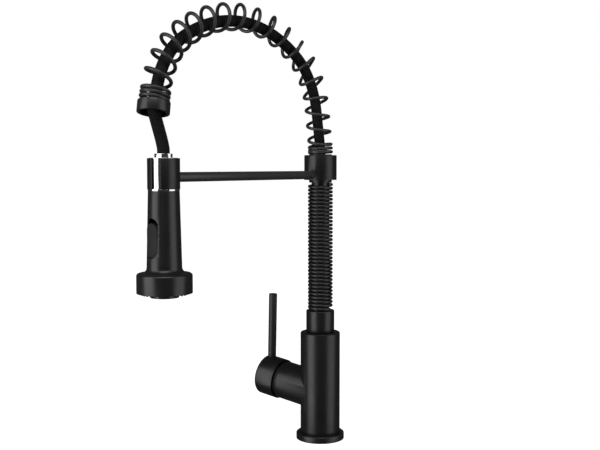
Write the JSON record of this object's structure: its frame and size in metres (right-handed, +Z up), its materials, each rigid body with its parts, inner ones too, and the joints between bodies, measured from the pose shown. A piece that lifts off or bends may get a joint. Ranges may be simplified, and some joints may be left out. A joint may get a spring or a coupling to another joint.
{
  "type": "pull down kitchen faucet",
  "caption": "Kitchen faucet with a side lever, an open spring arch over its hose, a docking arm and a pull down spray head.",
  "frame": {"origin": "centre of the base flange's underside, on the deck", "axes": "+Z up the riser, spout reaching towards -Y, valve and lever on the -X side"},
  "size_m": [0.1007, 0.2942, 0.4419],
  "materials": {
    "black_coat": "satin",
    "black_plastic": "satin",
    "black_hose": "ribbed",
    "rubber": "matte",
    "chrome": "polished",
    "brass": "machined",
    "steel": "brushed",
    "nylon": "moulded",
    "ceramic": "lapped"
  },
  "bodies": {
    "base": {"body_casting": "black_coat", "base_flange": "black_coat", "base_gasket": "rubber", "swivel_bush_upper": "nylon", "swivel_bush_lower": "nylon", "spout_retaining_screw": "steel", "cartridge_body": "nylon", "cartridge_seals": "rubber", "fixed_ceramic_disc": "ceramic", "cartridge_nut": "brass"},
    "turret": {"cartridge_turret": "nylon", "stem_pin": "steel"},
    "moving_disc": {"moving_ceramic_disc": "ceramic"},
    "handle": {"cartridge_stem": "brass", "handle_cap": "black_coat", "lever_rod": "black_coat", "handle_grub_screw": "steel"},
    "spout": {"spring_seat": "black_coat", "swivel_o_rings": "rubber", "hose_nipple": "brass", "riser_tube": "black_coat", "riser_coil": "black_coat", "collar_sleeve": "black_coat", "docking_collar": "black_coat", "collar_set_screw": "steel", "arm_rod": "black_coat", "dock_ring": "black_coat", "arch_spring": "black_coat", "spring_end_cap": "black_coat", "supply_hose": "black_hose", "drop_hose": "black_hose"},
    "hose_end": {"swivel_connector": "chrome"},
    "spray_head": {"swivel_washer": "rubber", "swivel_nut": "chrome", "head_sleeve": "chrome", "shoulder_ring": "chrome", "head_shell": "black_plastic", "head_base_ring": "black_plastic", "water_tube": "steel", "check_valve": "nylon", "diverter_body": "nylon", "toggle_pin": "steel", "spray_plate": "black_plastic", "spray_nozzles": "rubber", "aerator_insert": "nylon"},
    "toggle": {"toggle_button": "black_plastic"},
    "diverter": {"diverter_spool": "brass"}
  },
  "joints": [
    {"name": "spout_swivel", "type": "hinge", "parent": "base", "child": "spout", "pos_m": [0, 0, 0.1], "axis": [0, 0, 1], "continuous": true},
    {"name": "head_pull", "type": "slide", "parent": "spout", "child": "hose_end", "axis": [0, 0, -1], "range_m": [0, 0.15], "deforming": ["drop_hose"]},
    {"name": "head_turn", "type": "hinge", "parent": "hose_end", "child": "spray_head", "pos_m": [0, -0.242, 0.28], "axis": [0, 0, 1], "continuous": true},
    {"name": "toggle_press", "type": "hinge", "parent": "spray_head", "child": "toggle", "pos_m": [-0.00099, -0.25145, 0.2285], "axis": [-0.9945, 0.1045, 0], "range_deg": [0, 8]},
    {"name": "diverter_slide", "type": "slide", "parent": "spray_head", "child": "diverter", "axis": [0, 0, -1], "range_m": [0, 0.0009]},
    {"name": "temperature_turn", "type": "hinge", "parent": "base", "child": "turret", "pos_m": [-0.04298, 0, 0.05624], "axis": [-0.9903, 0, 0.1392], "range_deg": [-50, 50]},
    {"name": "flow_tilt", "type": "hinge", "parent": "turret", "child": "handle", "pos_m": [-0.04298, 0, 0.05624], "axis": [0, -1, 0], "range_deg": [0, 25]},
    {"name": "disc_slide", "type": "slide", "parent": "turret", "child": "moving_disc", "axis": [0.1392, 0, 0.9903], "range_m": [0, 0.004]}
  ],
  "couplings": [
    {"joint": "diverter_slide", "follows": "toggle_press", "m_per_rad": 0.006445},
    {"joint": "disc_slide", "follows": "flow_tilt", "m_per_rad": 0.0091}
  ]
}
